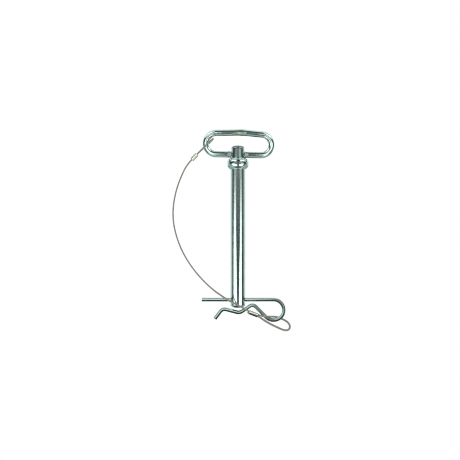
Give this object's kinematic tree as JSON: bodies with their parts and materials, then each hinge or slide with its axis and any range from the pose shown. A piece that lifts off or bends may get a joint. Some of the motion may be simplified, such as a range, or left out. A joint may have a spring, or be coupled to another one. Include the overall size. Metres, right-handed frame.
{
  "type": "hitch pin lock",
  "caption": "Steel hitch pin with a bead collar and a swinging oval loop handle, locked by an R-clip through a cross hole; a springy wire-rope lanyard ties the clip to the handle.",
  "frame": {"origin": "centre of the collar's underside, where the shank starts", "axes": "+Z along the pin's axis towards the handle; +X along the handle's long side and the clip's straight leg, towards the clip's bow; -Y is the front"},
  "size_m": [0.1513, 0.0285, 0.2581],
  "materials": {
    "pin_zinc": "bright zinc plate over a forged and turned shank",
    "handle_zinc": "bright zinc plate over bent round bar",
    "clip_zinc": "bright zinc plate over spring wire",
    "wire_rope": "dull stranded wire rope",
    "ferrule_alloy": "crimped bright aluminium sleeve"
  },
  "bodies": {
    "pin": {"pin": "pin_zinc", "lanyard_span": "wire_rope"},
    "handle": {"handle": "handle_zinc", "ferrule_upper": "ferrule_alloy", "lanyard_upper_eye": "wire_rope"},
    "clip_leg": {"r_clip_leg": "clip_zinc"},
    "clip": {"r_clip_spring": "clip_zinc", "ferrule_lower": "ferrule_alloy", "lanyard_lower_eye": "wire_rope"}
  },
  "joints": [
    {"name": "handle_swing", "type": "hinge", "parent": "pin", "child": "handle", "pos_m": [0, 0, 0.01907], "axis": [0.9997, 0, -0.0228], "range_deg": [-140, 140], "deforming": ["lanyard_span"]},
    {"name": "clip_pull", "type": "slide", "parent": "pin", "child": "clip_leg", "axis": [1, 0, 0], "range_m": [0, 0.058], "deforming": ["lanyard_span"]},
    {"name": "clip_swivel", "type": "hinge", "parent": "clip_leg", "child": "clip", "pos_m": [0.0456, 0, -0.1662], "axis": [1, 0, 0], "range_deg": [-120, 120], "deforming": ["lanyard_span"]}
  ]
}
